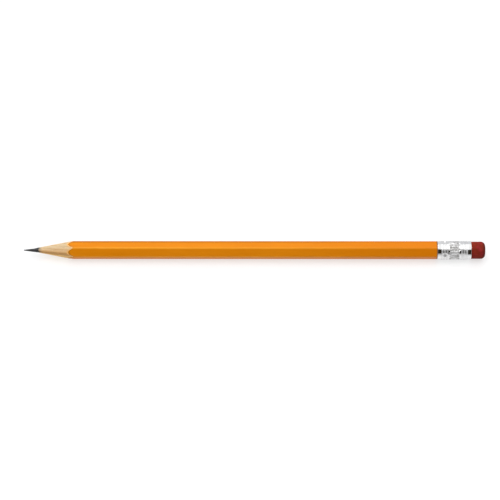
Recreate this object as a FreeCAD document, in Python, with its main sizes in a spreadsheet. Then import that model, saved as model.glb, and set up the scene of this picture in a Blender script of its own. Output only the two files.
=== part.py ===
import FreeCAD, Part
import os
import Sketcher
from FreeCAD import Placement, Rotation, Vector

# A hexagonal wood-cased graphite pencil with a metal ferrule and an eraser, in millimetres.
#
# The pencil lies along X: the writing point is at -X and the eraser at +X. Two of the barrel's flats
# face up and down, and the plane where the two slats are glued is level with the axis. The origin is
# under the middle of the pencil, on the surface that the ferrule, its widest part, touches.
#
# Every body but the ferrule has its own origin on the axis at the tip of the point, so that a local X
# is a distance from the tip. The ferrule is symmetrical, and has its origin at its own middle.

DIMENSIONS = (
    ("overall_length", 190.0, "tip of the point to the eraser's end face"),
    ("flats_width", 6.88, "across the flats of the lacquered barrel"),
    ("corner_radius", 1.0, "rounding of the lacquered barrel's corners"),
    ("lacquer_thickness", 0.06, "colour coat"),
    ("primer_thickness", 0.09, "pale coat under the colour"),
    ("glue_thickness", 0.05, "between the slats and round the core"),
    ("core_diameter", 2.0, "graphite rod"),
    ("point_angle", 10.9, "half angle of the sharpened cone, degrees"),
    ("apex_setback", 0.72, "from the tip back to the cone's own apex"),
    ("needle_angle", 7.0, "half angle of the core's slimmer front, degrees"),
    ("tip_radius", 0.2, "blunting of the tip"),
    ("ferrule_length", 13.85, "mouth to mouth"),
    ("ferrule_diameter", 7.7, "outside of the smooth collars"),
    ("ferrule_wall", 0.3, "sheet thickness"),
    ("rim_rounding", 0.1, "outer edge of each mouth of the ferrule"),
    ("lip_length", 0.7, "turned-in lip at the eraser's mouth"),
    ("lip_depth", 0.12, "that the lip bites into the rubber"),
    ("eraser_exposed", 5.85, "length of rubber outside the ferrule"),
    ("eraser_rounding", 1.75, "edge of the eraser's end face"),
    ("rib_count", 3, "ribs on each side of the fluted band"),
    ("rib_pitch", 1.03, "crest to crest"),
    ("rib_offset", 2.97, "middle of the ferrule to the nearest crest"),
    ("rib_half_width", 0.25, "foot of a rib to its crest, along the axis"),
    ("rib_height", 0.1, "above the collars"),
    ("flute_count", 24, "round the fluted band"),
    ("flute_depth", 0.16, "at the middle of a flute"),
    ("flute_radius", 0.48, "across a flute"),
    ("flute_half_length", 2.2, "middle of a flute to where it runs out"),
    ("dent_count", 4, "dents that stake the ferrule to the wood"),
    ("dent_offset", 3.95, "middle of the ferrule to the dents"),
    ("dent_angle", 17.0, "first dent, above the level plane on the -Y side, degrees"),
    ("dent_depth", 0.4, "below the collars"),
    ("dent_radius", 1.3, "of the round punch"),
    ("blank_start", 5.0, "front of the uncut blanks, inside the cone's bare core"),
    ("clear_radius", 4.6, "outside everything that a cutter removes"),
)

# Lengths that follow from the sheet, as expressions.
AXIS_HEIGHT = "(Dims.ferrule_diameter / 2 + Dims.rib_height)"
CORE_RADIUS = "(Dims.core_diameter / 2)"
BORE_RADIUS = "(Dims.ferrule_diameter / 2 - Dims.ferrule_wall)"
LIP_RADIUS = f"({BORE_RADIUS} - Dims.lip_depth)"
COAT_THICKNESS = "(Dims.lacquer_thickness + Dims.primer_thickness)"
PRIMED_FLATS = "(Dims.flats_width - 2 * Dims.lacquer_thickness)"
PRIMED_CORNER = "(Dims.corner_radius - Dims.lacquer_thickness)"
WOOD_FLATS = f"(Dims.flats_width - 2 * {COAT_THICKNESS})"
WOOD_CORNER = f"(Dims.corner_radius - {COAT_THICKNESS})"
FERRULE_BACK = "(Dims.overall_length - Dims.eraser_exposed)"
FERRULE_MIDDLE = f"({FERRULE_BACK} - Dims.ferrule_length / 2)"
FERRULE_FRONT = f"({FERRULE_BACK} - Dims.ferrule_length)"
DENT_CENTRE = "(Dims.ferrule_diameter / 2 - Dims.dent_depth + Dims.dent_radius)"
DENT_SHELL = "(Dims.dent_radius + Dims.ferrule_wall)"

document = FreeCAD.newDocument("graphite_pencil")
sheet = document.addObject("Spreadsheet::Sheet", "Dims")
for row, (alias, number, note) in enumerate(DIMENSIONS, start=1):
    sheet.set(f"A{row}", note)
    sheet.set(f"B{row}", str(number))
    sheet.setAlias(f"B{row}", alias)
document.recompute()


def value(expression):
    """What an expression gives with the sheet's present numbers."""
    return float(sheet.evalExpression(expression))


def bind(feature, sizes):
    """Tie each property of a feature to its expression."""
    for name, expression in sizes.items():
        feature.setExpression(name, expression)


def origin_part(body, role):
    """A plane or axis of a body's own origin."""
    return next(part for part in body.Origin.OriginFeatures if part.Role == role)


def new_body(label, local_origin="0"):
    """An empty body on the pencil's axis, local_origin behind the tip."""
    body = document.addObject("PartDesign::Body", label)
    body.Label = label
    bind(body, {
        "Placement.Base.x": f"{local_origin} - Dims.overall_length / 2",
        "Placement.Base.z": AXIS_HEIGHT,
    })
    return body


def attach(body, feature, role):
    feature.AttachmentSupport = [(origin_part(body, role), "")]
    feature.MapMode = "FlatFace"


def round_feature(body, kind, name, start, sizes):
    """A prism or cylinder along the axis, from start backwards along +X."""
    feature = body.newObject(f"PartDesign::{kind}", name)
    attach(body, feature, "YZ_Plane")
    bind(feature, {"AttachmentOffset.Base.z": start, **sizes})
    return feature


def place_corner(sketch, line, corner):
    """Hold the start of a line at two expressions, measured from the sketch's origin."""
    for kind, axis, expression in (("DistanceX", -2, corner[0]), ("DistanceY", -1, corner[1])):
        distance = value(expression)
        if distance == 0:
            sketch.addConstraint(Sketcher.Constraint("PointOnObject", line, 1, axis))
            continue
        name = f"{kind}{line}"
        index = sketch.addConstraint(Sketcher.Constraint(kind, -1, 1, line, 1, distance))
        sketch.renameConstraint(index, name)
        sketch.setExpression(f"Constraints.{name}", expression)


def section_sketch(body, name):
    """An empty sketch on the plane through the axis: x is along the pencil and y is the radius."""
    sketch = body.newObject("Sketcher::SketchObject", name)
    attach(body, sketch, "XZ_Plane")
    return sketch


def polygon_sketch(body, name, corners):
    """A closed polygon in the section plane, each corner held by the sheet."""
    sketch = section_sketch(body, name)
    places = [Vector(value(x), value(y), 0) for x, y in corners]
    ends = places[1:] + places[:1]
    for start, end in zip(places, ends):
        sketch.addGeometry(Part.LineSegment(start, end))
    for line in range(len(corners)):
        following = (line + 1) % len(corners)
        sketch.addConstraint(Sketcher.Constraint("Coincident", line, 2, following, 1))
    for line, corner in enumerate(corners):
        place_corner(sketch, line, corner)
    return sketch


def turned(body, kind, name, sketch):
    """Revolve a section about the pencil's axis, to add material or to cut it away."""
    feature = body.newObject(f"PartDesign::{kind}", name)
    feature.Profile = sketch
    feature.ReferenceAxis = (origin_part(body, "X_Axis"), [""])
    feature.Angle = 360
    return feature


def polar(body, name, original, count):
    """Repeat a feature round the pencil's axis."""
    pattern = body.newObject("PartDesign::PolarPattern", name)
    pattern.Originals = [original]
    pattern.Axis = (origin_part(body, "X_Axis"), [""])
    pattern.Angle = 360
    pattern.setExpression("Occurrences", count)
    body.Tip = pattern
    return pattern


def long_edges_at(shape, radius):
    """Names of the edges that run along the axis at this distance from it."""
    names = []
    for number, edge in enumerate(shape.Edges, start=1):
        start, end = edge.Vertexes[0].Point, edge.Vertexes[-1].Point
        along_axis = (end - start).cross(Vector(1, 0, 0)).Length < 1e-6
        distance = Vector(0, start.y, start.z).Length
        if along_axis and abs(distance - radius) < 1e-6:
            names.append(f"Edge{number}")
    return names


def hexagon(body, name, flats, corner_radius, back=FERRULE_MIDDLE):
    """A hexagonal prism as far back as this, with rounded corners and with flats up and down."""
    circumradius = f"{flats} / 2 / cos(30)"
    prism = round_feature(body, "AdditivePrism", name, "Dims.blank_start", {
        "Circumradius": circumradius,
        "Height": f"{back} - Dims.blank_start",
    })
    prism.Polygon = 6
    document.recompute()
    rounding = body.newObject("PartDesign::Fillet", f"{name}_corners")
    rounding.Base = (prism, long_edges_at(prism.Shape, value(circumradius)))
    rounding.setExpression("Radius", corner_radius)
    return rounding


def cut_slab(body, name, low, high):
    """Cut away a slab of the blank between two heights."""
    slab = body.newObject("PartDesign::SubtractiveBox", name)
    attach(body, slab, "XY_Plane")
    bind(slab, {
        "AttachmentOffset.Base.y": "-Dims.clear_radius",
        "AttachmentOffset.Base.z": low,
        "Length": "Dims.overall_length",
        "Width": "2 * Dims.clear_radius",
        "Height": f"{high} - {low}",
    })


def sharpen(body):
    """Cut the blank's front to the sharpener's cone."""
    front = "(Dims.blank_start - 1)"
    slope = "tan(Dims.point_angle)"
    sketch = polygon_sketch(body, "outside_the_cone", (
        (front, f"{slope} * ({front} - Dims.apex_setback)"),
        (f"Dims.apex_setback + Dims.clear_radius / {slope}", "Dims.clear_radius"),
        (front, "Dims.clear_radius"),
    ))
    return turned(body, "Groove", "sharpening", sketch)


def turn_tenon(body):
    """Turn the bare wood's corners down to the ferrule's bore, up to a shoulder at its mouth."""
    behind = f"({FERRULE_MIDDLE} + 1)"
    sketch = polygon_sketch(body, "outside_the_tenon", (
        (FERRULE_FRONT, BORE_RADIUS),
        (behind, BORE_RADIUS),
        (behind, "Dims.clear_radius"),
        (FERRULE_FRONT, "Dims.clear_radius"),
    ))
    return turned(body, "Groove", "tenon_turning", sketch)


def punch(body, kind, name, radius, local_middle):
    """The first dent's sphere: its centre is outside the ferrule, and its pole points outwards."""
    lean = "(90 - Dims.dent_angle)"
    sphere = body.newObject(f"PartDesign::{kind}", name)
    attach(body, sphere, "XY_Plane")
    sphere.AttachmentOffset = Placement(Vector(0, 0, 0), Rotation(Vector(1, 0, 0), value(lean)))
    bind(sphere, {
        "AttachmentOffset.Base.x": f"{local_middle} - Dims.dent_offset",
        "AttachmentOffset.Base.y": f"-{DENT_CENTRE} * sin({lean})",
        "AttachmentOffset.Base.z": f"{DENT_CENTRE} * cos({lean})",
        "AttachmentOffset.Rotation.Angle": lean,
        "Radius": radius,
    })
    return sphere


def press_dents(body):
    """Press the ferrule's dents into the wood."""
    dent = punch(body, "SubtractiveSphere", "pressed_dent", DENT_SHELL, FERRULE_MIDDLE)
    return polar(body, "pressed_dents", dent, "Dims.dent_count")


def graphite_core():
    """A round rod, sharpened with the wood, with a slimmer and slightly blunt front."""
    body = new_body("graphite_core")
    sketch = section_sketch(body, "core_section")
    radius = value(CORE_RADIUS)
    blunt = value("Dims.tip_radius")
    shoulder = f"Dims.apex_setback + {CORE_RADIUS} / tan(Dims.point_angle)"
    tangent_point = Vector(
        value("Dims.tip_radius * (1 - sin(Dims.needle_angle))"),
        value("Dims.tip_radius * cos(Dims.needle_angle)"),
        0,
    )
    knee = Vector(value(shoulder) / 2, radius / 2, 0)
    neck = Vector(value(shoulder), radius, 0)
    back_edge = Vector(value(FERRULE_MIDDLE), radius, 0)
    back_centre = Vector(back_edge.x, 0, 0)
    halfway = Vector(blunt * (1 - 0.8), blunt * 0.6, 0)
    tip, needle, cone, side, back, centre_line = sketch.addGeometry([
        Part.Arc(Vector(0, 0, 0), halfway, tangent_point),
        Part.LineSegment(tangent_point, knee),
        Part.LineSegment(knee, neck),
        Part.LineSegment(neck, back_edge),
        Part.LineSegment(back_edge, back_centre),
        Part.LineSegment(back_centre, Vector(0, 0, 0)),
    ])
    # The arc through three points runs clockwise, so its second end is the one on the axis.
    sketch.addConstraint([
        Sketcher.Constraint("Coincident", tip, 2, -1, 1),
        Sketcher.Constraint("PointOnObject", tip, 3, -1),
        Sketcher.Constraint("Tangent", tip, 1, needle, 1),
        Sketcher.Constraint("Coincident", needle, 2, cone, 1),
        Sketcher.Constraint("Coincident", cone, 2, side, 1),
        Sketcher.Constraint("Coincident", side, 2, back, 1),
        Sketcher.Constraint("Coincident", back, 2, centre_line, 1),
        Sketcher.Constraint("Coincident", centre_line, 2, tip, 2),
        Sketcher.Constraint("Horizontal", side),
        Sketcher.Constraint("Vertical", back),
        Sketcher.Constraint("PointOnObject", back, 2, -1),
    ])
    driven = (
        ("blunting", "Dims.tip_radius", ("Radius", tip)),
        ("needle_slope", "Dims.needle_angle", ("Angle", needle)),
        ("cone_slope", "Dims.point_angle", ("Angle", cone)),
        ("neck_place", shoulder, ("DistanceX", -1, 1, side, 1)),
        ("rod_radius", CORE_RADIUS, ("DistanceY", -1, 1, side, 1)),
        ("rod_end", FERRULE_MIDDLE, ("DistanceX", -1, 1, back, 1)),
    )
    for name, expression, reference in driven:
        size = value(expression)
        if reference[0] == "Angle":
            size = FreeCAD.Units.Quantity(size, FreeCAD.Units.Angle)
        index = sketch.addConstraint(Sketcher.Constraint(*reference, size))
        sketch.renameConstraint(index, name)
        sketch.setExpression(f"Constraints.{name}", expression)
    turned(body, "Revolution", "sharpened_rod", sketch)
    return body


def slat(label, low, high):
    """One half of the casing: low and high bound the half that is cut away with the glue line."""
    body = new_body(label)
    hexagon(body, "blank", WOOD_FLATS, WOOD_CORNER)
    cut_slab(body, "other_half", low, high)
    round_feature(body, "SubtractiveCylinder", "lead_groove", "0", {
        "Radius": f"{CORE_RADIUS} + Dims.glue_thickness",
        "Height": "Dims.overall_length",
    })
    sharpen(body)
    turn_tenon(body)
    press_dents(body)
    return body


def glue_film():
    """The film between the slats, and the sleeve of glue round the core."""
    body = new_body("glue_film")
    half_film = "(Dims.glue_thickness / 2)"
    hexagon(body, "blank", WOOD_FLATS, WOOD_CORNER)
    cut_slab(body, "above_the_film", half_film, "Dims.clear_radius")
    cut_slab(body, "below_the_film", "-Dims.clear_radius", f"(-{half_film})")
    round_feature(body, "AdditiveCylinder", "sleeve", "Dims.blank_start", {
        "Radius": f"{CORE_RADIUS} + Dims.glue_thickness",
        "Height": f"{FERRULE_MIDDLE} - Dims.blank_start",
    })
    round_feature(body, "SubtractiveCylinder", "core_space", "0", {
        "Radius": CORE_RADIUS,
        "Height": "Dims.overall_length",
    })
    sharpen(body)
    turn_tenon(body)
    return body


def coat(label, outer_flats, outer_corner, inner_flats, inner_corner):
    """One coat of paint: a hexagonal skin, sharpened with the wood, that stops at the ferrule."""
    outside = new_body(f"{label}_outside")
    hexagon(outside, "blank", outer_flats, outer_corner, FERRULE_FRONT)
    sharpen(outside)
    inside = new_body(f"{label}_inside")
    hexagon(inside, "covered", inner_flats, inner_corner)
    skin = document.addObject("Part::Cut", label)
    skin.Label = label
    skin.Base = outside
    skin.Tool = inside
    return skin


def add_ribs(body):
    """Two groups of ribs, mirrored about the ferrule's middle."""
    collar = "(Dims.ferrule_diameter / 2)"
    crest = f"({collar} + Dims.rib_height)"
    foot = f"({collar} - Dims.ferrule_wall / 2)"
    half_width = "Dims.rib_half_width"
    sketch = section_sketch(body, "rib_section")
    middle = value("Dims.rib_offset")
    left, right = middle - value(half_width), middle + value(half_width)
    low, side, top = value(foot), value(collar), value(crest)
    left_wall, crown, right_wall, base = sketch.addGeometry([
        Part.LineSegment(Vector(left, low, 0), Vector(left, side, 0)),
        Part.Arc(Vector(left, side, 0), Vector(middle, top, 0), Vector(right, side, 0)),
        Part.LineSegment(Vector(right, side, 0), Vector(right, low, 0)),
        Part.LineSegment(Vector(right, low, 0), Vector(left, low, 0)),
    ])
    # The crown's first end is its right one, because an arc in a sketch runs anticlockwise.
    sketch.addConstraint([
        Sketcher.Constraint("Coincident", left_wall, 2, crown, 2),
        Sketcher.Constraint("Coincident", crown, 1, right_wall, 1),
        Sketcher.Constraint("Coincident", right_wall, 2, base, 1),
        Sketcher.Constraint("Coincident", base, 2, left_wall, 1),
        Sketcher.Constraint("Vertical", left_wall),
        Sketcher.Constraint("Vertical", right_wall),
        Sketcher.Constraint("Horizontal", base),
    ])
    height = "Dims.rib_height"
    driven = (
        ("left_foot", f"Dims.rib_offset - {half_width}", ("DistanceX", -1, 1, left_wall, 1)),
        ("right_foot", f"Dims.rib_offset + {half_width}", ("DistanceX", -1, 1, right_wall, 1)),
        ("base_radius", foot, ("DistanceY", -1, 1, base, 1)),
        ("left_side", collar, ("DistanceY", -1, 1, left_wall, 2)),
        ("right_side", collar, ("DistanceY", -1, 1, right_wall, 1)),
        ("crown_radius", f"({half_width} ^ 2 + {height} ^ 2) / (2 * {height})", ("Radius", crown)),
    )
    for name, expression, reference in driven:
        index = sketch.addConstraint(Sketcher.Constraint(*reference, value(expression)))
        sketch.renameConstraint(index, name)
        sketch.setExpression(f"Constraints.{name}", expression)
    rib = turned(body, "Revolution", "rib", sketch)
    ribs = body.newObject("PartDesign::MultiTransform", "ribs")
    row_of_ribs = document.addObject("PartDesign::LinearPattern", "row_of_ribs")
    row_of_ribs.Direction = (origin_part(body, "X_Axis"), [""])
    bind(row_of_ribs, {
        "Length": "Dims.rib_pitch * (Dims.rib_count - 1)",
        "Occurrences": "Dims.rib_count",
    })
    other_side = document.addObject("PartDesign::Mirrored", "other_side")
    other_side.MirrorPlane = (origin_part(body, "YZ_Plane"), [""])
    ribs.Originals = [rib]
    ribs.Transformations = [row_of_ribs, other_side]
    body.Tip = ribs
    return ribs


def add_flutes(body):
    """Shallow flutes along the axis that run out before the ribs, each cut by a slice of a torus."""
    reach = "((Dims.flute_half_length ^ 2 + Dims.flute_depth ^ 2) / (2 * Dims.flute_depth))"
    sweep = f"(3 * asin(Dims.flute_half_length / {reach}))"
    flute = body.newObject("PartDesign::SubtractiveTorus", "flute")
    attach(body, flute, "XZ_Plane")
    flute.AttachmentOffset = Placement(Vector(0, 0, 0), Rotation(Vector(0, 0, 1), 0))
    bind(flute, {
        "Radius1": f"{reach} - Dims.flute_radius",
        "Radius2": "Dims.flute_radius",
        "Angle3": sweep,
        "AttachmentOffset.Base.y": f"Dims.ferrule_diameter / 2 - Dims.flute_depth + {reach}",
        "AttachmentOffset.Rotation.Angle": f"-90 deg - {sweep} / 2",
    })
    return polar(body, "flutes", flute, "Dims.flute_count")


def stake(body):
    """Round dents punched through the collar into the wood: the metal keeps its thickness."""
    plane = "(Dims.ferrule_diameter / 2 - Dims.ferrule_wall * 5 / 6)"
    boss = punch(body, "AdditiveSphere", "dent_back", DENT_SHELL, "0")
    boss.Angle1 = -90
    boss.setExpression("Angle2", f"-asin(({DENT_CENTRE} - {plane}) / {DENT_SHELL})")
    polar(body, "dent_backs", boss, "Dims.dent_count")
    hollow = punch(body, "SubtractiveSphere", "dent", "Dims.dent_radius", "0")
    return polar(body, "dents", hollow, "Dims.dent_count")


def turn_in_lip(body):
    """Lean the sheet inwards at the back mouth, where it grips the rubber."""
    mouth = "(Dims.ferrule_length / 2)"
    within_wall = f"({BORE_RADIUS} + Dims.ferrule_wall / 2)"
    sketch = polygon_sketch(body, "lip_section", (
        (f"{mouth} - Dims.lip_length", BORE_RADIUS),
        (mouth, LIP_RADIUS),
        (mouth, within_wall),
        (f"{mouth} - Dims.lip_length", within_wall),
    ))
    return turned(body, "Revolution", "lip", sketch)


def ferrule():
    """A rolled aluminium tube with plain collars, ribs, a fluted band, a lip and staking dents."""
    body = new_body("ferrule", FERRULE_MIDDLE)
    half_length = "(Dims.ferrule_length / 2)"
    tube = round_feature(body, "AdditiveCylinder", "tube", f"-{half_length}", {
        "Radius": "Dims.ferrule_diameter / 2",
        "Height": "Dims.ferrule_length",
    })
    document.recompute()
    rims = [
        f"Edge{number}"
        for number, edge in enumerate(tube.Shape.Edges, start=1)
        if isinstance(edge.Curve, Part.Circle)
    ]
    rounding = body.newObject("PartDesign::Fillet", "rim_rounding")
    rounding.Base = (tube, rims)
    rounding.setExpression("Radius", "Dims.rim_rounding")
    round_feature(body, "SubtractiveCylinder", "bore", f"-{half_length}", {
        "Radius": BORE_RADIUS,
        "Height": "Dims.ferrule_length",
    })
    turn_in_lip(body)
    add_ribs(body)
    add_flutes(body)
    stake(body)
    return body


def eraser():
    """A round rubber plug that fills the ferrule's back half, pinched by its lip."""
    body = new_body("eraser")
    plug = round_feature(body, "AdditiveCylinder", "plug", FERRULE_MIDDLE, {
        "Radius": BORE_RADIUS,
        "Height": f"Dims.overall_length - {FERRULE_MIDDLE}",
    })
    document.recompute()
    length = value("Dims.overall_length")
    end_edge = [
        f"Edge{number}"
        for number, edge in enumerate(plug.Shape.Edges, start=1)
        if isinstance(edge.Curve, Part.Circle) and abs(edge.Curve.Center.x - length) < 1e-6
    ]
    rounding = body.newObject("PartDesign::Fillet", "end_rounding")
    rounding.Base = (plug, end_edge)
    rounding.setExpression("Radius", "Dims.eraser_rounding")
    sketch = polygon_sketch(body, "outside_the_pinch", (
        (f"{FERRULE_BACK} - Dims.lip_length", BORE_RADIUS),
        (FERRULE_BACK, LIP_RADIUS),
        (FERRULE_BACK, "Dims.clear_radius"),
        (f"{FERRULE_BACK} - Dims.lip_length", "Dims.clear_radius"),
    ))
    turned(body, "Groove", "pinch", sketch)
    return body


ABOVE = ("(-Dims.glue_thickness / 2)", "Dims.clear_radius")
BELOW = ("-Dims.clear_radius", "(Dims.glue_thickness / 2)")

pieces = [
    graphite_core(),
    slat("upper_slat", *BELOW),
    slat("lower_slat", *ABOVE),
    glue_film(),
    coat("primer_coat", PRIMED_FLATS, PRIMED_CORNER, WOOD_FLATS, WOOD_CORNER),
    coat("lacquer_coat", "Dims.flats_width", "Dims.corner_radius", PRIMED_FLATS, PRIMED_CORNER),
    ferrule(),
    eraser(),
]
document.recompute()

failed = [item.Name for item in document.Objects if {"Invalid", "Error"} & set(item.State)]
if failed:
    raise RuntimeError(f"these objects failed: {failed}")
os.makedirs("parts", exist_ok=True)
for piece in pieces:
    if piece.Shape.isNull() or not piece.Shape.isValid():
        raise RuntimeError(f"{piece.Label} has no valid shape")
    if len(piece.Shape.Solids) != 1:
        raise RuntimeError(f"{piece.Label} is not one solid")
    piece.Shape.exportStep(f"parts/{piece.Label}.step")
    print(f"{piece.Label}: {piece.Shape.Volume:.3f} mm3")
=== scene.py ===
from math import asin, cos, pi, radians, sin, sqrt, tan

import bpy
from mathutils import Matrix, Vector, noise


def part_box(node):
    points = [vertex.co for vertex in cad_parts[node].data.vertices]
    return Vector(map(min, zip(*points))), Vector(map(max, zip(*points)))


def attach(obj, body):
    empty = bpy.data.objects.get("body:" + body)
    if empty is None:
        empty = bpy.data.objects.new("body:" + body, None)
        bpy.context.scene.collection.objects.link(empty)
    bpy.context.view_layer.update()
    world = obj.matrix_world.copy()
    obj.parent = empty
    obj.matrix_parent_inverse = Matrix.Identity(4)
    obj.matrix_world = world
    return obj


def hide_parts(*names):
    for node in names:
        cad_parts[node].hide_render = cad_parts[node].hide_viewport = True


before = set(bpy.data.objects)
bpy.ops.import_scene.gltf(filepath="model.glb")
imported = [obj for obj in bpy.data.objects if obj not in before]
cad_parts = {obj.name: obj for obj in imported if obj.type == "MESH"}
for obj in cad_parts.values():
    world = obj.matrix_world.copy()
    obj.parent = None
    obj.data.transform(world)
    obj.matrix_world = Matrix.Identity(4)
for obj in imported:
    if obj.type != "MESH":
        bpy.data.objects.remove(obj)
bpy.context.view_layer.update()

# A sharpened hexagonal pencil, lying along X with its point at -X. Angles round the pencil are
# measured from -Y, the side that faces the camera, up over the top. Lengths are in metres.

MM = 0.001
CAMERA_ELEVATION = radians(47)
CAMERA_AZIMUTH = radians(0.04)
CAMERA_DISTANCE = 0.95
FRAME_WIDTH = 0.206
FRAME_CENTRE_X = -0.0018
FRAME_CENTRE_RISE = 0.00007
SENSOR_WIDTH_MM = 36
FLOOR_HALF_WIDTH = 4.0
CEILING_LIGHT = 4.1
SEAM_LIGHT = 1.15
SEAM_PLACE = 0.09

# ---------------------------------------------------------------- sizes, from the CAD frame

core_low, core_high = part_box("graphite_core")
slat_low, slat_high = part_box("upper_slat")
glue_low, glue_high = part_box("glue_film")
primer_low, primer_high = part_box("primer_coat")
lacquer_low, lacquer_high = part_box("lacquer_coat")
ferrule_low, ferrule_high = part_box("ferrule")
eraser_low, eraser_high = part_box("eraser")

AXIS_Z = (ferrule_low.z + ferrule_high.z) / 2
TIP_X = core_low.x
BARREL_END_X = core_high.x
MOUTH_X = ferrule_low.x
FERRULE_MIDDLE_X = (ferrule_low.x + ferrule_high.x) / 2
FERRULE_HALF_LENGTH = (ferrule_high.x - ferrule_low.x) / 2
CORE_RADIUS = (core_high.z - core_low.z) / 2
GROOVE_RADIUS = (glue_high.z - glue_low.z) / 2
BORE_RADIUS = (eraser_high.z - eraser_low.z) / 2
FILM_HALF = slat_low.z - AXIS_Z
LACQUER_APOTHEM = (lacquer_high.z - lacquer_low.z) / 2
PRIMER_APOTHEM = (primer_high.z - primer_low.z) / 2
WOOD_APOTHEM = slat_high.z - AXIS_Z
# A slat starts where the cone is as wide as the groove, and the lacquer where it leaves the primer.
CONE_SLOPE = (PRIMER_APOTHEM - GROOVE_RADIUS) / (lacquer_low.x - slat_low.x)
APEX_X = slat_low.x - GROOVE_RADIUS / CONE_SLOPE

# ---------------------------------------------------------------- sizes of the details

NEEDLE_SLOPE = tan(radians(7.0))
TIP_RADIUS = 0.2 * MM
RELIEF_FADE = 0.3 * MM
POINT_SHIFT = 0.13 * MM
POINT_SIDE = radians(-43)
COLLAR_RADIUS = 3.85 * MM
RIB_HEIGHT = (ferrule_high.z - ferrule_low.z) / 2 - COLLAR_RADIUS
RIB_CRESTS = [2.97 * MM + 1.03 * MM * i for i in range(3)]
RIB_HALF_WIDTH = 0.25 * MM
FLUTES = 24
FLUTE_DEPTH = 0.16 * MM
FLUTE_HALF_LENGTH = 2.2 * MM
FLUTE_SLIP = 0.5 * MM
FLUTE_DEPTH_SPREAD = 0.5
DENTS = 4
DENT_OFFSET = 3.95 * MM
DENT_ANGLE = radians(17)
DENT_DEPTH = 0.4 * MM
DENT_PUNCH = 1.3 * MM
DENT_CENTRE = COLLAR_RADIUS - DENT_DEPTH + DENT_PUNCH
DENT_SHELL = DENT_PUNCH + COLLAR_RADIUS - BORE_RADIUS
DENT_EASE = 0.05 * MM
# The knocks on the two collars: each one's middle, half its width round the ferrule, and its depth.
FRONT_KNOCK = (radians(37), radians(35), 0.05 * MM)
BACK_KNOCK = (radians(56), radians(56), 0.15 * MM)
KNOCK_EDGE = 0.5 * MM
THINNEST_WALL = 0.07 * MM
WALL_EASE = 0.06 * MM
BAND_RAGGEDNESS = 0.7 * MM
BAND_FADE = 0.5 * MM
FLUTE_END = 1.7 * MM
FLUTE_END_WIDTH = 0.6 * MM
RIB_SHADE_AND_GRIME_WIDTH = 0.2 * MM
# Where round the fluted band its grime and painted shade are deeper and where lighter, and how wide
# each is.
BAND_DARKER_ANGLE = radians(60)
BAND_LIGHTER_ANGLE = radians(24)
BAND_SHADE_WIDTH = radians(22)
RING_LEAN = radians(30)
NECK_BREAK = 0.42 * MM
NECK_BREAK_REACH = 2 * MM
NECK_TEETH = 3
NECK_TOOTH_ANGLE = radians(47)
CUT_EDGE_WIDTH = 0.5 * MM
CUT_EDGE_BEVEL = 0.4 * MM
CUT_EDGE_THINNING = 0.3
CORNER_HALF_WIDTH = radians(9)
RIM_ROUNDING = 0.1 * MM
# Where a dark line runs along the lacquer near the top back corner, and half its width round the
# pencil.
DARK_LINE_ANGLE = radians(114)
DARK_LINE_HALF_WIDTH = radians(14)
LIP_LENGTH = 0.7 * MM
LIP_DEPTH = 0.12 * MM
ERASER_ROUNDING = 1.75 * MM
ERASER_CREASE = 0.25 * MM
ERASER_SMOOTH_EDGE = 0.5 * MM
CLEARANCE = 0.01 * MM


def corner_rounding(apothem, across_corners):
    """Radius that a hexagon's corners are rounded to, from its two widths."""
    sharp = apothem / cos(pi / 6)
    return (sharp - across_corners / 2) / (1 / cos(pi / 6) - 1)


LACQUER_CORNER = corner_rounding(LACQUER_APOTHEM, lacquer_high.y - lacquer_low.y)
PRIMER_CORNER = corner_rounding(PRIMER_APOTHEM, primer_high.y - primer_low.y)
WOOD_CORNER = PRIMER_CORNER - (PRIMER_APOTHEM - WOOD_APOTHEM)


def hexagon_radius(angle, apothem, rounding):
    """Distance from the axis to a hexagon with rounded corners; its flats face up and down."""
    turn = (angle + pi / 6) % (pi / 3) - pi / 6
    corner_reach = (apothem - rounding) / cos(pi / 6)
    edge_end = corner_reach * sin(pi / 6)
    off_flat = pi / 6 - abs(turn)
    if tan(off_flat) * apothem <= edge_end:
        return apothem / cos(off_flat)
    across = corner_reach * sin(abs(turn))
    return corner_reach * cos(turn) + sqrt(rounding ** 2 - across ** 2)


# ---------------------------------------------------------------- meshes


def on_pencil(x, radius, angle):
    """A point of the frame, from its place along the pencil and round it."""
    return (x, -radius * cos(angle), AXIS_Z + radius * sin(angle))


def held(number):
    """A number kept between 0 and 1."""
    return min(1, max(0, number))


def spaced(start, end, count):
    """Evenly spaced numbers, with both ends."""
    return [start + (end - start) * i / (count - 1) for i in range(count)]


def joined(*runs):
    """Runs of numbers, end to end, without the doubled ends."""
    out = list(runs[0])
    for run in runs[1:]:
        out += list(run)[1:]
    return out


def piece_from(name, points, faces, nodes):
    """A mesh object that rides on the pencil and stands for its CAD nodes."""
    mesh = bpy.data.meshes.new(name)
    mesh.from_pydata(points, [], faces)
    mesh.validate()
    mesh.polygons.foreach_set("use_smooth", [True] * len(mesh.polygons))
    made = bpy.data.objects.new(name, mesh)
    bpy.context.scene.collection.objects.link(made)
    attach(made, "root")
    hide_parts(*nodes)
    return made


def grid_faces(rows, columns, rows_closed=False):
    """Quads between rows of points that each close round the pencil."""
    faces = []
    for row in range(rows if rows_closed else rows - 1):
        next_row = (row + 1) % rows
        for column in range(columns):
            next_column = (column + 1) % columns
            faces.append((
                row * columns + column,
                row * columns + next_column,
                next_row * columns + next_column,
                next_row * columns + column,
            ))
    return faces


def capped(points, faces, columns, front, back):
    """Close both ends of a grid with a fan round a point on the axis."""
    first, last = len(points), len(points) + 1
    points += [(front, 0, AXIS_Z), (back, 0, AXIS_Z)]
    last_row = first - columns
    for column in range(columns):
        next_column = (column + 1) % columns
        faces.append((next_column, column, first))
        faces.append((last_row + column, last_row + next_column, last))
    return points, faces


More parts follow.
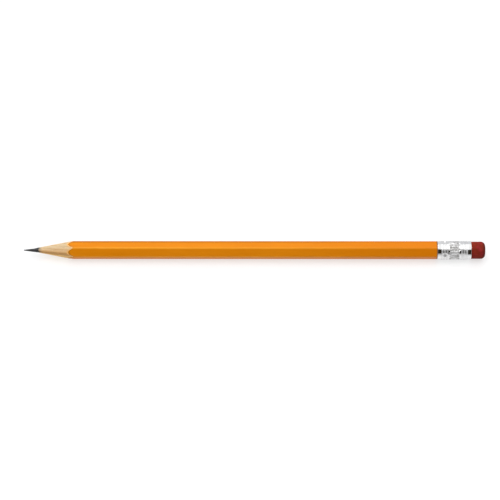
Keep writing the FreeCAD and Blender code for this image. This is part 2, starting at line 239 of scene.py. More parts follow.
def ripple(x, radius, angle, pitch, stretch=1.0, seed=0.0):
    """Smooth noise from -1 to 1 on a surface round the pencil, stretched along it."""
    y, z = radius * cos(angle), radius * sin(angle)
    return noise.noise(Vector((x / pitch / stretch + seed, y / pitch, z / pitch)))


# ---------------------------------------------------------------- materials


def node(tree, kind, inputs=None, **settings):
    """A shader node: inputs are values or sockets to link, settings are its properties."""
    made = tree.nodes.new(f"ShaderNode{kind}")
    for name, setting in settings.items():
        setattr(made, name, setting)
    for socket, source in (inputs or {}).items():
        if isinstance(source, bpy.types.NodeSocket):
            tree.links.new(source, made.inputs[socket])
        else:
            made.inputs[socket].default_value = source
    return made


def new_material(name):
    """A material with an empty tree, its coordinates in millimetres, and its shader."""
    material = bpy.data.materials.new(name)
    material.use_nodes = True
    tree = material.node_tree
    tree.nodes.clear()
    output = node(tree, "OutputMaterial")
    shader = node(tree, "BsdfPrincipled")
    tree.links.new(shader.outputs[0], output.inputs["Surface"])
    place = node(tree, "TexCoord").outputs["Object"]
    centred = node(tree, "Mapping", {"Vector": place, "Scale": (1000, 1000, 1000)})
    centred.inputs["Location"].default_value = (0, 0, -AXIS_Z * 1000)
    return material, tree, shader, centred.outputs[0]


def stretched(tree, place, x, y, z):
    """Coordinates scaled along each axis: a noise looks long where the scale is low."""
    return node(tree, "Mapping", {"Vector": place, "Scale": (x, y, z)}).outputs[0]


def speckle(tree, place, scale, detail=3.0, roughness=0.5):
    """Noise from 0 to 1."""
    made = node(tree, "TexNoise", {
        "Vector": place, "Scale": scale, "Detail": detail, "Roughness": roughness,
    })
    return made.outputs["Fac"]


def ramp(tree, factor, *stops):
    """A colour ramp with stops of (place, colour)."""
    made = node(tree, "ValToRGB", {"Fac": factor})
    elements = made.color_ramp.elements
    while len(elements) < len(stops):
        elements.new(0.5)
    for element, (position, colour) in zip(elements, stops):
        element.position = position
        element.color = (*colour, 1)
    return made.outputs["Color"]


def graded(tree, factor, low, high, start=0.0, end=1.0):
    """Map a factor's range onto another range, with its ends held."""
    made = node(tree, "MapRange", {
        "Value": factor, "From Min": start, "From Max": end, "To Min": low, "To Max": high,
    })
    return made.outputs["Result"]


def maths(tree, operation, first, second=0.0):
    return node(tree, "Math", {0: first, 1: second}, operation=operation).outputs[0]


def mixed(tree, factor, first, second, blend="MIX"):
    """Mix two colours, each a socket or three numbers."""
    made = node(tree, "Mix", data_type="RGBA", blend_type=blend)
    for index, source in ((0, factor), (6, first), (7, second)):
        if isinstance(source, bpy.types.NodeSocket):
            tree.links.new(source, made.inputs[index])
        else:
            made.inputs[index].default_value = source if index == 0 else (*source, 1)
    return made.outputs[2]


def bump(tree, shader, *layers):
    """Stack bumps: each layer is (height, depth in millimetres)."""
    normal = None
    for height, depth in layers:
        made = node(tree, "Bump", {"Height": height, "Strength": 1, "Distance": depth * MM})
        if normal is not None:
            tree.links.new(normal, made.inputs["Normal"])
        normal = made.outputs[0]
    tree.links.new(normal, shader.inputs["Normal"])


def along(tree, place):
    """The place along the pencil, in millimetres."""
    return node(tree, "SeparateXYZ", {"Vector": place}).outputs["X"]


def lacquer_material():
    material, tree, shader, place = new_material("orange_lacquer")
    clouds = speckle(tree, stretched(tree, place, 0.05, 0.4, 0.4), 1.0)
    streaks = speckle(tree, stretched(tree, place, 0.06, 4, 4), 1.0, 4)
    scuffs = speckle(tree, stretched(tree, place, 0.3, 3, 3), 1.0, 6, 0.7)
    colour = ramp(tree, clouds, (0.3, (0.655, 0.2, 0.003)), (0.7, (0.70, 0.226, 0.005)))
    colour = mixed(tree, graded(tree, streaks, 0, 0.3, 0.5, 0.8), colour, (0.58, 0.148, 0.001))
    # Lighter on the corners: partly thin paint, partly a painted highlight along the rounded
    # corners.
    corner = node(tree, "Attribute", attribute_name="corner").outputs["Fac"]
    thin_paint_and_highlight = maths(tree, "MULTIPLY", corner, graded(tree, streaks, 0.5, 1.0, 0.35, 0.65))
    colour = mixed(tree, thin_paint_and_highlight, colour, (0.82, 0.33, 0.02))
    # Darker along the cut edge and along a line near the top back corner (the edge map), broken up
    # by noise.
    cut_edge = node(tree, "Attribute", attribute_name="edge").outputs["Fac"]
    dark_line = maths(tree, "MULTIPLY", cut_edge, graded(tree, scuffs, 0.3, 0.8, 0.3, 0.6))
    colour = mixed(tree, dark_line, colour, (0.30, 0.10, 0.008))
    # Painted shade: the lacquer darkens and reddens along the barrel towards the ferrule, standing
    # in for light that falls off there.
    painted_falloff_shade = graded(tree, along(tree, place), 0, 0.7, 10, 75)
    colour = mixed(tree, painted_falloff_shade, colour, (0.62, 0.165, 0.002))
    specks = speckle(tree, place, 2.2, 2)
    dark = graded(tree, specks, 0, 0.5, 0.76, 0.8)
    colour = mixed(tree, dark, colour, (0.27, 0.08, 0.01))
    # Painted shadow: a thin dark line on the lacquer just before the ferrule's mouth, where the
    # ferrule's rim meets the barrel.
    mouth = MOUTH_X / MM
    darkening = graded(tree, along(tree, place), 0, 0.8, mouth - 0.5, mouth - 0.15)
    colour = mixed(tree, darkening, colour, (0.16, 0.07, 0.02))
    tree.links.new(colour, shader.inputs["Base Color"])
    tree.links.new(graded(tree, scuffs, 0.2, 0.5, 0.35, 0.8), shader.inputs["Roughness"])
    shader.inputs["Specular IOR Level"].default_value = 0.0
    shader.inputs["Coat Weight"].default_value = 0.45
    shader.inputs["Coat Roughness"].default_value = 0.08
    shader.inputs["Coat IOR"].default_value = 1.4
    peel = speckle(tree, stretched(tree, place, 0.5, 1, 1), 1.6, 2)
    bump(tree, shader, (peel, 0.02), (streaks, 0.008), (specks, 0.01))
    return material


def primer_material():
    material, tree, shader, place = new_material("pale_primer")
    grain = speckle(tree, place, 6, 4)
    colour = ramp(tree, grain, (0.3, (0.74, 0.38, 0.09)), (0.7, (0.80, 0.47, 0.15)))
    tree.links.new(colour, shader.inputs["Base Color"])
    tree.links.new(graded(tree, grain, 0.45, 0.7), shader.inputs["Roughness"])
    bump(tree, shader, (grain, 0.02))
    return material


def cedar_material(name, seed, tint):
    """Cedar: its growth rings lean across the slat, and a dark band lies low on the front."""
    material, tree, shader, place = new_material(name)
    wander = speckle(tree, stretched(tree, place, 0.04, 0.25, 0.25), 1.0 + seed, 2)
    parts = node(tree, "SeparateXYZ", {"Vector": place})
    leaning = maths(tree, "MULTIPLY", parts.outputs["Z"], cos(RING_LEAN))
    sideways = maths(tree, "MULTIPLY", parts.outputs["Y"], sin(RING_LEAN))
    leaning = maths(tree, "ADD", leaning, sideways)
    leaning = maths(tree, "ADD", leaning, graded(tree, wander, -0.6, 0.6))
    # A dark band low on the front of the cone, just below a line about 30 degrees up from the
    # front.
    low_front_dark_band = maths(tree, "MULTIPLY", graded(tree, leaning, 1, 0, -0.12, 0.12),
                      graded(tree, leaning, 0, 1, -1.7, -0.9))
    rings = maths(tree, "FRACT", maths(tree, "MULTIPLY", leaning, 0.9))
    colour = ramp(
        tree, rings,
        (0.0, (0.63, 0.44, 0.22)), (0.6, (0.65, 0.465, 0.245)),
        (0.88, (0.55, 0.345, 0.15)), (1.0, (0.62, 0.43, 0.21)),
    )
    colour = mixed(tree, maths(tree, "MULTIPLY", low_front_dark_band, 0.9), colour, (0.44, 0.265, 0.095))
    fibres = speckle(tree, stretched(tree, place, 0.35, 9, 9), 1.0, 5, 0.6)
    colour = mixed(tree, graded(tree, fibres, 0, 0.45, 0.52, 0.75), colour, (0.38, 0.205, 0.08))
    pale = speckle(tree, stretched(tree, place, 0.2, 4, 4), 1.0 + seed, 3)
    colour = mixed(tree, graded(tree, pale, 0, 0.5, 0.55, 0.8), colour, (0.70, 0.56, 0.35))
    blush = speckle(tree, stretched(tree, place, 0.35, 1.2, 1.2), 1.0 + seed, 2)
    colour = mixed(tree, graded(tree, blush, 0, 0.35, 0.58, 0.72), colour, (0.52, 0.27, 0.14))
    pores = speckle(tree, stretched(tree, place, 1.2, 14, 14), 1.0, 1)
    colour = mixed(tree, graded(tree, pores, 0, 0.5, 0.7, 0.78), colour, (0.22, 0.11, 0.045))
    colour = mixed(tree, 1.0, colour, tint, "MULTIPLY")
    # Warmer and more orange everywhere except high on the top of the cone, which stays paler.
    across = node(tree, "CombineXYZ", {"Y": parts.outputs["Y"], "Z": parts.outputs["Z"]})
    off_axis = node(tree, "VectorMath", {0: across.outputs[0]}, operation="LENGTH").outputs["Value"]
    upward = maths(tree, "DIVIDE", parts.outputs["Z"], off_axis)
    near_joint = graded(tree, upward, 1, 0, 0.55, 0.97)
    colour = mixed(tree, near_joint, colour, (1.18, 0.99, 0.78), "MULTIPLY")
    smudge = speckle(tree, stretched(tree, place, 1.0, 4, 4), 1.0, 3)
    reach = maths(tree, "ADD", parts.outputs["X"], maths(tree, "MULTIPLY", smudge, -2.2))
    neck = slat_low.x / MM
    darkening = graded(tree, reach, 0.85, 0.0, neck - 1.6, neck + 0.5)
    colour = mixed(tree, darkening, colour, (0.12, 0.11, 0.095))
    tree.links.new(colour, shader.inputs["Base Color"])
    tree.links.new(graded(tree, fibres, 0.55, 0.8), shader.inputs["Roughness"])
    shader.inputs["Specular IOR Level"].default_value = 0.3
    chatter = node(tree, "TexWave", {
        "Vector": place, "Scale": 1.3, "Distortion": 2.5, "Detail": 2.0,
    }, bands_direction="X").outputs["Fac"]
    bump(tree, shader, (fibres, 0.05), (pores, -0.04), (chatter, 0.012))
    return material


def glue_material():
    material, tree, shader, place = new_material("dried_glue")
    grain = speckle(tree, place, 4, 3)
    colour = ramp(tree, grain, (0.35, (0.16, 0.11, 0.07)), (0.7, (0.36, 0.25, 0.13)))
    smudge = graded(tree, along(tree, place), 0.95, 0.3, glue_low.x / MM, glue_low.x / MM + 2.5)
    colour = mixed(tree, smudge, colour, (0.035, 0.034, 0.032))
    tree.links.new(colour, shader.inputs["Base Color"])
    tree.links.new(graded(tree, grain, 0.4, 0.6), shader.inputs["Roughness"])
    bump(tree, shader, (grain, 0.01))
    return material


def graphite_material():
    material, tree, shader, place = new_material("graphite")
    grain = speckle(tree, place, 9, 5, 0.7)
    turning = speckle(tree, stretched(tree, place, 9, 0.6, 0.6), 1.0, 4, 0.7)
    colour = ramp(tree, grain, (0.25, (0.018, 0.018, 0.019)), (0.75, (0.038, 0.038, 0.039)))
    shine = graded(tree, turning, 0, 0.6, 0.55, 0.75)
    colour = mixed(tree, shine, colour, (0.065, 0.065, 0.065))
    tree.links.new(colour, shader.inputs["Base Color"])
    tree.links.new(graded(tree, turning, 0.55, 0.35, 0.3, 0.7), shader.inputs["Roughness"])
    shader.inputs["Metallic"].default_value = 0.2
    shader.inputs["Specular IOR Level"].default_value = 0.35
    bump(tree, shader, (turning, 0.015), (grain, 0.012))
    return material


def aluminium_material():
    material, tree, shader, place = new_material("rolled_aluminium")
    clouds = speckle(tree, place, 0.8, 3)
    colour = ramp(tree, clouds, (0.3, (0.74, 0.74, 0.745)), (0.7, (0.83, 0.83, 0.83)))
    groove = node(tree, "Attribute", attribute_name="hollow").outputs["Fac"]
    # Grime and painted shade from the ferrule's map, broken up by grains, darken the colour and
    # raise the roughness.
    grime_and_shade = node(tree, "Attribute", attribute_name="grime_and_shade").outputs["Fac"]
    grains = speckle(tree, place, 5, 4)
    grime_and_shade_mix = maths(tree, "MULTIPLY", grime_and_shade, graded(tree, grains, 0.2, 1.0, 0.3, 0.7))
    colour = mixed(tree, grime_and_shade_mix, colour, (0.26, 0.25, 0.235))
    tree.links.new(colour, shader.inputs["Base Color"])
    scratches = speckle(tree, stretched(tree, place, 7, 0.7, 0.7), 1.0, 5, 0.7)
    rough = graded(tree, scratches, 0.04, 0.13, 0.35, 0.7)
    rough = maths(tree, "ADD", rough, maths(tree, "MULTIPLY", groove, 0.62))
    tree.links.new(maths(tree, "ADD", rough, maths(tree, "MULTIPLY", grime_and_shade_mix, 0.3)),
                   shader.inputs["Roughness"])
    shader.inputs["Metallic"].default_value = 1
    bump(tree, shader, (scratches, 0.0025), (clouds, 0.03))
    return material


def rubber_material():
    material, tree, shader, place = new_material("red_rubber")
    clouds = speckle(tree, place, 0.7, 3)
    grit = speckle(tree, place, 7, 4, 0.7)
    colour = ramp(tree, clouds, (0.3, (0.155, 0.0155, 0.007)), (0.7, (0.226, 0.023, 0.011)))
    colour = mixed(tree, graded(tree, grit, 0, 0.4, 0.58, 0.75), colour, (0.29, 0.045, 0.03))
    colour = mixed(tree, graded(tree, grit, 0.5, 0, 0.25, 0.42), colour, (0.08, 0.009, 0.008))
    crimson = speckle(tree, place, 0.35, 2)
    colour = mixed(tree, graded(tree, crimson, 0, 0.6, 0.5, 0.65), colour, (0.25, 0.015, 0.023))
    # Painted shade: the rounded end and the end face are darkened, broken up by noise.
    end_shade = node(tree, "Attribute", attribute_name="end_shade").outputs["Fac"]
    end_shade_breakup = speckle(tree, stretched(tree, place, 1, 0.5, 1), 1.6, 4, 0.7)
    end_shade_mix = maths(tree, "MULTIPLY", end_shade, graded(tree, end_shade_breakup, 0.5, 0.95, 0.4, 0.7))
    colour = mixed(tree, end_shade_mix, colour, (0.065, 0.012, 0.010))
    tree.links.new(colour, shader.inputs["Base Color"])
    tree.links.new(graded(tree, grit, 0.5, 0.75), shader.inputs["Roughness"])
    shader.inputs["Specular IOR Level"].default_value = 0.05
    bump(tree, shader, (grit, 0.03), (clouds, 0.05))
    return material


def floor_material():
    material, tree, shader, place = new_material("white_paper")
    grain = speckle(tree, place, 0.02, 2)
    colour = ramp(tree, grain, (0.3, (0.26, 0.26, 0.26)), (0.7, (0.275, 0.275, 0.275)))
    tree.links.new(colour, shader.inputs["Base Color"])
    shader.inputs["Roughness"].default_value = 0.9
    shader.inputs["Specular IOR Level"].default_value = 0.1
    shader.inputs["Emission Color"].default_value = (1, 1, 1, 1)
    shader.inputs["Emission Strength"].default_value = 0.70
    shader.inputs["Coat Weight"].default_value = 1.0
    shader.inputs["Coat Roughness"].default_value = 0.1
    shader.inputs["Coat IOR"].default_value = 1.5
    return material


# ---------------------------------------------------------------- the point and the casing


def cone_radius(x):
    return (x - APEX_X) * CONE_SLOPE


def core_radius(x):
    """The rod's radius: a blunt tip, a slim needle, the cone, and then the full rod."""
    from_tip = x - TIP_X
    if from_tip < TIP_RADIUS:
        rounded = sqrt(max(0, TIP_RADIUS ** 2 - (TIP_RADIUS - from_tip) ** 2))
    else:
        rounded = TIP_RADIUS + (from_tip - TIP_RADIUS) * NEEDLE_SLOPE
    return min(CORE_RADIUS, max(rounded, cone_radius(x)))


def point_shift(x, neck):
    """How far the bare point is worn off the axis."""
    share = max(0, (neck - x) / (neck - TIP_X))
    return POINT_SHIFT * min(1, share / 0.3) * (1 - 0.5 * share)


def make_core():
    """The graphite rod, with the sharpener's fine turning marks on its bare point."""
    neck = APEX_X + CORE_RADIUS / CONE_SLOPE
    columns = 72
    stations = joined(
        spaced(TIP_X + 0.004 * MM, TIP_X + 0.3 * MM, 12),
        spaced(TIP_X + 0.3 * MM, neck, 90),
        spaced(neck, neck + 0.4 * MM, 3),
        spaced(neck + 0.4 * MM, BARREL_END_X, 30),
    )
    points = []
    for x in stations:
        radius = core_radius(x)
        bare = min(1, (x - TIP_X) / MM) if x < neck else 0
        shift = point_shift(x, neck)
        for column in range(columns):
            angle = 2 * pi * column / columns
            mark = ripple(x, radius, angle, 0.22 * MM) * 0.012 * MM
            cut = ripple(x, radius * 0.3, angle, 0.12 * MM, seed=5.0) * 0.008 * MM
            _, y, z = on_pencil(x, radius + bare * (mark + cut), angle)
            points.append((x, y - shift * cos(POINT_SIDE), z + shift * sin(POINT_SIDE)))
    faces = grid_faces(len(stations), columns)
    points, faces = capped(points, faces, columns, TIP_X, BARREL_END_X)
    tip = len(stations) * columns
    points[tip] = (TIP_X, -point_shift(TIP_X, neck) * cos(POINT_SIDE),
                   AXIS_Z + point_shift(TIP_X, neck) * sin(POINT_SIDE))
    core = piece_from("graphite_rod", points, faces, ["graphite_core"])
    core.data.materials.append(graphite_material())


def grain_relief(x, radius, angle):
    """How far the cedar's grain and the sharpener's blade move the bare cone, in metres."""
    fibre = ripple(x, radius, angle, 0.16 * MM, stretch=9, seed=2.0) * 0.022
    band = ripple(x, radius, angle, 0.7 * MM, stretch=6, seed=7.0) * 0.03
    chatter = sin(2 * pi * x / (0.55 * MM) + 3 * ripple(x, radius, angle, 2 * MM)) * 0.004
    return (fibre + band + chatter) * MM


def neck_wander(x, angle):
    """How far the wood's thin front edge breaks back from the neck, fading along the cone."""
    broken = 0.55 - 0.5 * cos(NECK_TEETH * (angle - NECK_TOOTH_ANGLE))
    broken += 0.8 * ripple(0, 2 * MM, angle, 0.9 * MM, seed=11.0)
    broken += 0.5 * ripple(0, 2 * MM, angle, 0.3 * MM, seed=13.0)
    return max(0, broken) * NECK_BREAK * max(0, 1 - (x - slat_low.x) / NECK_BREAK_REACH) ** 2


def slat_section(row_x, sign, columns):
    """One ring of points round a slat: its outside, then its half of the lead groove."""
    outside, inside = [], []
    for column in range(columns):
        turn = pi * column / (columns - 1)
        x = row_x + neck_wander(row_x, sign * turn)
        cone = cone_radius(x)
        radius = min(cone, hexagon_radius(turn, WOOD_APOTHEM, WOOD_CORNER))
        if radius == cone:
            bare = min(1, (cone - GROOVE_RADIUS) / RELIEF_FADE)
            radius += bare * grain_relief(x, cone, sign * turn)
        if x > MOUTH_X:
            angle = sign * turn
            radius = min(radius, BORE_RADIUS - dent_fall(x, angle, BORE_RADIUS, DENT_SHELL))
            radius -= CLEARANCE
        plane = asin(FILM_HALF / radius)
        angle = plane + (pi - 2 * plane) * column / (columns - 1)
        outside.append(on_pencil(x, radius, sign * angle))
        groove_plane = asin(FILM_HALF / GROOVE_RADIUS)
        groove_angle = groove_plane + (pi - 2 * groove_plane) * column / (columns - 1)
        inside.append(on_pencil(x, GROOVE_RADIUS, sign * groove_angle))
    return outside + inside[::-1]


def make_slat(name, node_name, sign, material):
    """Half of the casing: a long slat with a groove, sharpened to a half cone."""
    columns = 91
    ring = 2 * columns
    scallop_end = APEX_X + hexagon_radius(0, WOOD_APOTHEM, WOOD_CORNER) / CONE_SLOPE
    first = slat_low.x + 0.02 * MM
    stations = joined(
        spaced(first, scallop_end + 0.1 * MM, 170),
        spaced(scallop_end + 0.1 * MM, MOUTH_X, 24),
        [MOUTH_X, MOUTH_X + CLEARANCE],
        spaced(MOUTH_X + CLEARANCE, BARREL_END_X, 50),
    )
    points = [point for x in stations for point in slat_section(x, sign, columns)]
    faces = grid_faces(len(stations), ring)
    for start, flip in ((0, False), (len(points) - ring, True)):
        for column in range(columns - 1):
            quad = [column, column + 1, ring - 2 - column, ring - 1 - column]
            corners = [start + corner for corner in quad]
            faces.append(tuple(corners[::-1] if flip else corners))
    if sign > 0:
        faces = [face[::-1] for face in faces]
    slat = piece_from(name, points, faces, [node_name])
    slat.data.materials.append(material)
    mark_sharp_edges(slat, radians(40))


def mark_sharp_edges(made, limit):
    """Shade a piece smooth but keep its edges above a limit crisp."""
    made.data.set_sharp_from_angle(angle=limit)


def paint_map(made, name, values):
    """Store a number for each point, for the material to read."""
    painted = made.data.attributes.new(name, "FLOAT", "POINT")
    painted.data.foreach_set("value", values)


def make_coat(name, node_name, outer, inner, material, chipped):
    """A coat of paint. outer and inner are (apothem, corner radius). chipped is how far its cut
    edge crumbles back from the cone. It is lighter on the corners, partly as thin paint and
    partly as a painted highlight, and darker along its cut edge and along a line near the top
    back corner."""
    columns = 360
    run = spaced(0, 1, 60)
    rows = [(outer, "out", share) for share in run] + [(inner, "in", share) for share in run[::-1]]
    points, corners, edges = [], [], []
    for (apothem, rounding), side, share in rows:
        for column in range(columns):
            angle = 2 * pi * column / columns
            radius = hexagon_radius(angle, apothem, rounding)
            front = APEX_X + radius / CONE_SLOPE
            chip = 0.5 + 0.9 * ripple(front, radius, angle, 0.6 * MM, seed=3.0)
            chip += 0.5 * ripple(front, radius, angle, 0.17 * MM, seed=9.0)
            front += max(0, chip) * chipped
            x = front + (lacquer_high.x - front) * share ** 2
            if side == "out":
                edge = max(0, 1 - (x - front) / CUT_EDGE_BEVEL)
                radius -= edge ** 2 * CUT_EDGE_THINNING * (LACQUER_APOTHEM - PRIMER_APOTHEM)
                radius += ripple(x, radius, angle, 2.5 * MM, stretch=6, seed=4.0) * 0.006 * MM
            points.append(on_pencil(x, radius, angle))
            # Maps for the material: the corners are lighter, partly thin paint and partly a painted
            # highlight; the cut edge and a line near the top back corner are darker, and that line
            # gets no corner lightening.
            off_corner = abs((angle + pi / 6) % (pi / 3) - pi / 6)
            at_corner = max(0, 1 - off_corner / CORNER_HALF_WIDTH)
            dark_line = max(0, 1 - abs(angle - DARK_LINE_ANGLE) / DARK_LINE_HALF_WIDTH)
            corners.append(0 if dark_line else at_corner)
            cut = max(0, 1 - (x - front) / CUT_EDGE_WIDTH) * (1 - at_corner)
            edges.append(max(cut, dark_line))
    faces = grid_faces(len(rows), columns, rows_closed=True)
    coat = piece_from(name, points, faces, [node_name])
    paint_map(coat, "corner", corners)
    paint_map(coat, "edge", edges)
    coat.data.materials.append(material)
    mark_sharp_edges(coat, radians(40))


# ---------------------------------------------------------------- the ferrule and the eraser


def rib_rise(from_middle):
    """Height of the ribs over the collar."""
    for crest in RIB_CRESTS:
        offset = abs(abs(from_middle) - crest) / RIB_HALF_WIDTH
        if offset < 1:
            return RIB_HEIGHT * (0.5 + 0.5 * cos(pi * offset)) ** 0.8
    return 0


def flute_fall(from_middle, angle):
    """Depth of the flutes, which run out before the ribs and are rolled in a little unevenly."""
    flute = round(angle / (2 * pi) * FLUTES) % FLUTES
    uneven = noise.noise(Vector((flute * 1.7, 0.5, 4.5)))
    length_share = abs(from_middle - uneven * FLUTE_SLIP) / FLUTE_HALF_LENGTH
    if length_share >= 1 or abs(from_middle) > RIB_CRESTS[0] - RIB_HALF_WIDTH:
        return 0
    across = 0.5 + 0.5 * cos(FLUTES * angle)
    return FLUTE_DEPTH * (1 + FLUTE_DEPTH_SPREAD * uneven) * across * (1 - length_share ** 2)


def dent_fall(x, angle, radius, punch):
    """How far the staking dents push in a surface at this radius: punch is their own radius."""
    step = 2 * pi / DENTS
    turn = (angle - DENT_ANGLE + step / 2) % step - step / 2
    across = radius * sin(turn)
    along_axis = x - FERRULE_MIDDLE_X + DENT_OFFSET
    away = sqrt(across ** 2 + along_axis ** 2)
    if away >= punch:
        return 0
    depth = radius * cos(turn) - DENT_CENTRE + sqrt(punch ** 2 - away ** 2)
    return (depth + sqrt(depth ** 2 + DENT_EASE ** 2)) / 2


def knock_fall(from_middle, angle):
    """How far handling has flattened the two plain collars, each a little differently."""
    centre, width, depth = BACK_KNOCK if from_middle > 0 else FRONT_KNOCK
    turn = min(1, abs(angle - centre) / width)
    in_collar = held((abs(from_middle) - RIB_CRESTS[-1]) / KNOCK_EDGE)
    return in_collar * depth * (0.5 + 0.5 * cos(pi * turn))


def band_share(from_middle, radius, angle):
    """How much of the fluted band's wear a place has: 1 in the band, with a ragged border."""
    ragged = ripple(0, radius, angle, 0.8 * MM, seed=21.0) * BAND_RAGGEDNESS
    return held((FLUTE_HALF_LENGTH + ragged - abs(from_middle)) / BAND_FADE)


def ferrule_outside(from_middle, angle):
    """The ferrule's outer radius, and how dull it is there and how much grime and painted shade it
    has, from 0 to 1.
    """
    to_rim = FERRULE_HALF_LENGTH - abs(from_middle)
    rim = max(0, RIM_ROUNDING - to_rim)
    rim_fall = RIM_ROUNDING - sqrt(max(0, RIM_ROUNDING ** 2 - rim ** 2))
    radius = COLLAR_RADIUS + rib_rise(from_middle) - rim_fall
    radius -= flute_fall(from_middle, angle) + knock_fall(from_middle, angle)
    dent = dent_fall(FERRULE_MIDDLE_X + from_middle, angle, radius, DENT_PUNCH)
    nearest = min(abs(abs(from_middle) - crest) for crest in RIB_CRESTS)
    beside_rib = max(0, 1 - abs(nearest - RIB_HALF_WIDTH) / RIB_SHADE_AND_GRIME_WIDTH)
    in_band = band_share(from_middle, radius, angle)
    in_flute = 0.5 + 0.5 * cos(FLUTES * angle)
    at_end = max(0, 1 - abs(abs(from_middle) - FLUTE_END) / FLUTE_END_WIDTH) * in_flute
    mottle = ripple(from_middle, radius, angle, 0.9 * MM, seed=31.0)
    band = in_band * (0.55 + 0.15 * in_flute + 0.4 * at_end + 0.5 * mottle)
    # Dull and darkened in the hollows beside the ribs, in the fluted band and in the dents: partly
    # grime, partly painted shade.
    hollow = max(beside_rib * 0.55, band, dent / DENT_DEPTH * 0.55)
    # The band's grime and painted shade are deeper round one angle and lighter round another.
    band_darker = max(0, 1 - abs(angle - BAND_DARKER_ANGLE) / BAND_SHADE_WIDTH)
    band_lighter = max(0, 1 - abs(angle - BAND_LIGHTER_ANGLE) / BAND_SHADE_WIDTH)
    grime_and_shade = hollow + in_band * (0.6 * band_darker - 0.6 * band_lighter)
    wobble = ripple(from_middle, radius, angle, 2.0 * MM, seed=1.11) * 0.05
    wobble += in_band * (ripple(from_middle, radius, angle, 0.9 * MM, seed=16.0) - 0.4) * 0.14
    wall = radius + wobble * MM - BORE_RADIUS - THINNEST_WALL
    wall = THINNEST_WALL + (wall + sqrt(wall ** 2 + WALL_EASE ** 2)) / 2
    return BORE_RADIUS + wall - dent, held(hollow), held(grime_and_shade)


def ferrule_inside(from_middle, angle):
    """The bore, with the backs of the dents and the lip that pinches the rubber."""
    x = FERRULE_MIDDLE_X + from_middle
    return BORE_RADIUS - dent_fall(x, angle, BORE_RADIUS, DENT_SHELL) - lip_fall(x)


def lip_fall(x):
    """How far the lip at the ferrule's back mouth leans in."""
    share = max(0, 1 - (ferrule_high.x - x) / LIP_LENGTH)
    return LIP_DEPTH * share


def ferrule_stations():
    """Places along the outside, from the ferrule's middle, close together over ribs and rims."""
    half = FERRULE_HALF_LENGTH
    runs = [spaced(0, FLUTE_HALF_LENGTH, 22)]
    for crest in RIB_CRESTS:
        rib_start, rib_end = crest - RIB_HALF_WIDTH, crest + RIB_HALF_WIDTH
        runs.append(spaced(runs[-1][-1], rib_start, 6))
        runs.append(spaced(rib_start, rib_end, 13))
    runs.append(spaced(runs[-1][-1], half - RIM_ROUNDING, 14))
    runs.append([half - RIM_ROUNDING * (1 - sin(pi / 2 * i / 6)) for i in range(7)])
    back = joined(*runs)
    return [-x for x in back[:0:-1]] + back


def make_ferrule():
    """A rolled tube: its outside with all its relief, its rims and its bore."""
    columns = 360
    half = FERRULE_HALF_LENGTH
    outside = ferrule_stations()
    points, hollows, grime_and_shade_values = [], [], []
    for from_middle in outside:
        for column in range(columns):
            angle = 2 * pi * column / columns
            radius, hollow, grime_and_shade = ferrule_outside(from_middle, angle)
            points.append(on_pencil(FERRULE_MIDDLE_X + from_middle, radius, angle))
            hollows.append(hollow)
            grime_and_shade_values.append(grime_and_shade)
    inside = joined(spaced(half, half - LIP_LENGTH, 6), spaced(half - LIP_LENGTH, 0, 6),
                    spaced(0, -half, 40))
    for from_middle in inside:
        for column in range(columns):
            angle = 2 * pi * column / columns
            radius = ferrule_inside(from_middle, angle)
            points.append(on_pencil(FERRULE_MIDDLE_X + from_middle, radius, angle))
            # The bore is dull and darkened with painted shade.
            hollows.append(0.6)
            grime_and_shade_values.append(0.6)
    faces = grid_faces(len(outside) + len(inside), columns, rows_closed=True)
    ferrule = piece_from("ferrule_tube", points, faces, ["ferrule"])
    paint_map(ferrule, "hollow", hollows)
    paint_map(ferrule, "grime_and_shade", grime_and_shade_values)
    ferrule.data.materials.append(aluminium_material())
    mark_sharp_edges(ferrule, radians(60))


def make_eraser():
    """A rubber plug with a rounded, very slightly domed end."""
    columns = 128
    end, start = eraser_high.x, eraser_low.x
    straight_end = end - ERASER_ROUNDING
    lip_start = ferrule_high.x - LIP_LENGTH
    inner_radius = BORE_RADIUS - CLEARANCE
    rows = [(x, inner_radius) for x in spaced(start, lip_start, 10)]
    rows += [(x, inner_radius - lip_fall(x)) for x in spaced(lip_start, ferrule_high.x, 8)[1:]]
    for x in spaced(ferrule_high.x, straight_end, 60)[1:]:
        crease = max(0, 1 - (x - ferrule_high.x) / ERASER_CREASE)
        rows.append((x, BORE_RADIUS - LIP_DEPTH * crease ** 2))
    for step in range(1, 25):
        turn = pi / 2 * step / 24
        rows.append((
            straight_end + ERASER_ROUNDING * sin(turn),
            BORE_RADIUS - ERASER_ROUNDING * (1 - cos(turn)),
        ))
    flat = BORE_RADIUS - ERASER_ROUNDING
    rows += [(end, flat * (1 - share)) for share in spaced(0, 0.96, 14)[1:]]
    points, end_shade_values = [], []
    for x, radius in rows:
        bare = held((x - ferrule_high.x) / ERASER_SMOOTH_EDGE)
        for column in range(columns):
            angle = 2 * pi * column / columns
            lump = ripple(x, radius, angle, 1.8 * MM, seed=1.0) * 0.03 * MM
            grit = ripple(x, radius, angle, 0.3 * MM, seed=8.0) * 0.01 * MM
            fall = bare * (abs(lump) + abs(grit))
            share = radius / BORE_RADIUS
            nod = -fall if x > straight_end else 0
            points.append(on_pencil(x + nod * 0.8, radius - fall * share, angle))
            # Painted-shade map: rising to 1 over the rounded end and the end face.
            end_shade_values.append(held((x - straight_end) / ERASER_ROUNDING * 1.3))
    faces = grid_faces(len(rows), columns)
    points, faces = capped(points, faces, columns, start, end - 0.02 * MM)
    end_shade_values += [0, 1]
    eraser = piece_from("eraser_plug", points, faces, ["eraser"])
    paint_map(eraser, "end_shade", end_shade_values)
    eraser.data.materials.append(rubber_material())
    mark_sharp_edges(eraser, radians(60))


# ---------------------------------------------------------------- camera, floor and light


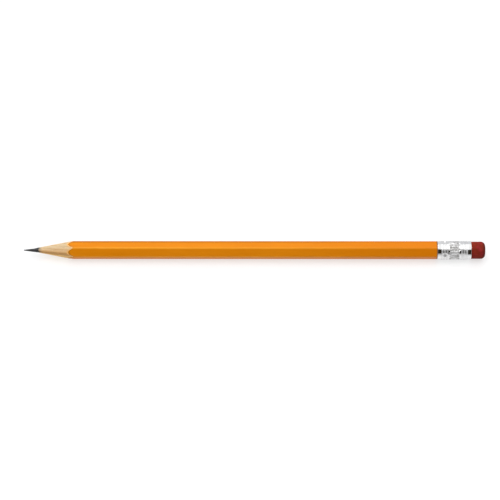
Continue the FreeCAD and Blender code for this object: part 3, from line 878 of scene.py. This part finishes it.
def make_camera():
    data = bpy.data.cameras.new("camera")
    data.sensor_width = SENSOR_WIDTH_MM
    data.lens = SENSOR_WIDTH_MM * CAMERA_DISTANCE / FRAME_WIDTH
    data.clip_start = 0.05
    data.clip_end = 50
    camera = bpy.data.objects.new("camera", data)
    level_distance = CAMERA_DISTANCE * cos(CAMERA_ELEVATION)
    camera.location = (
        FRAME_CENTRE_X + level_distance * sin(CAMERA_AZIMUTH),
        -level_distance * cos(CAMERA_AZIMUTH),
        AXIS_Z + FRAME_CENTRE_RISE + CAMERA_DISTANCE * sin(CAMERA_ELEVATION),
    )
    camera.rotation_euler = (pi / 2 - CAMERA_ELEVATION, 0, CAMERA_AZIMUTH)
    bpy.context.scene.collection.objects.link(camera)
    bpy.context.scene.camera = camera


def make_floor():
    """A pale floor, tilted a little so that the ferrule and the barrel's front both rest on it."""
    low = AXIS_Z - LACQUER_APOTHEM
    touch_back = FERRULE_MIDDLE_X - RIB_CRESTS[-1]
    touch_front = APEX_X + LACQUER_APOTHEM / CONE_SLOPE
    tilt = low / (touch_back - touch_front)
    half = FLOOR_HALF_WIDTH
    points = [
        (x, y, (touch_back - x) * tilt)
        for x, y in ((-half, -half), (half, -half), (half, half), (-half, half))
    ]
    mesh = bpy.data.meshes.new("floor")
    mesh.from_pydata(points, [], [(0, 1, 2, 3)])
    floor = bpy.data.objects.new("floor", mesh)
    bpy.context.scene.collection.objects.link(floor)
    mesh.materials.append(floor_material())


def make_world():
    """A white studio: a bright ceiling of two panels with a dimmer seam between them, white
    walls, and a dark gap over the camera's side."""
    world = bpy.data.worlds.new("studio")
    bpy.context.scene.world = world
    world.use_nodes = True
    tree = world.node_tree
    tree.nodes.clear()
    direction = node(tree, "TexCoord").outputs["Generated"]
    parts = node(tree, "SeparateXYZ", {"Vector": direction})
    height, depth = parts.outputs["Z"], parts.outputs["Y"]
    sideways = maths(tree, "ABSOLUTE", parts.outputs["X"])
    ceiling = graded(tree, height, 0, 1, sin(radians(50)), sin(radians(58)))
    from_seam = maths(tree, "SUBTRACT", parts.outputs["X"], SEAM_PLACE)
    off_seam = maths(tree, "ABSOLUTE", from_seam)
    seam = graded(tree, off_seam, 1, 0, 0.15, 0.25)
    panels = mixed(tree, seam, (CEILING_LIGHT,) * 3, (SEAM_LIGHT,) * 3)
    above_floor = graded(tree, height, 0, 1, sin(radians(-1)), sin(radians(5)))
    camera_side = graded(tree, depth, 1, 0, -0.35, -0.05)
    narrow = graded(tree, sideways, 1, 0.25, 0.35, 0.65)
    gap = maths(tree, "MULTIPLY", above_floor, maths(tree, "MULTIPLY", camera_side, narrow))
    walls = mixed(tree, gap, (0.84, 0.85, 0.87), (0.03, 0.024, 0.016))
    colour = mixed(tree, ceiling, walls, panels)
    background = node(tree, "Background", {"Color": colour, "Strength": 1.0})
    output = node(tree, "OutputWorld")
    tree.links.new(background.outputs[0], output.inputs["Surface"])


make_camera()
make_world()
make_floor()
make_core()
make_slat("upper_cedar_slat", "upper_slat", 1,
          cedar_material("cedar_upper", 0.3, (0.97, 1.02, 1.16)))
make_slat("lower_cedar_slat", "lower_slat", -1,
          cedar_material("cedar_lower", 1.7, (1.17, 1.25, 1.12)))
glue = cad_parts["glue_film"]
glue.data.materials.clear()
glue.data.materials.append(glue_material())
make_coat("primer_skin", "primer_coat", (PRIMER_APOTHEM, PRIMER_CORNER),
          (WOOD_APOTHEM, WOOD_CORNER), primer_material(), 0.06 * MM)
make_coat("lacquer_skin", "lacquer_coat", (LACQUER_APOTHEM, LACQUER_CORNER),
          (PRIMER_APOTHEM, PRIMER_CORNER), lacquer_material(), 0.3 * MM)
make_ferrule()
make_eraser()

bpy.context.scene.view_settings.view_transform = "Standard"
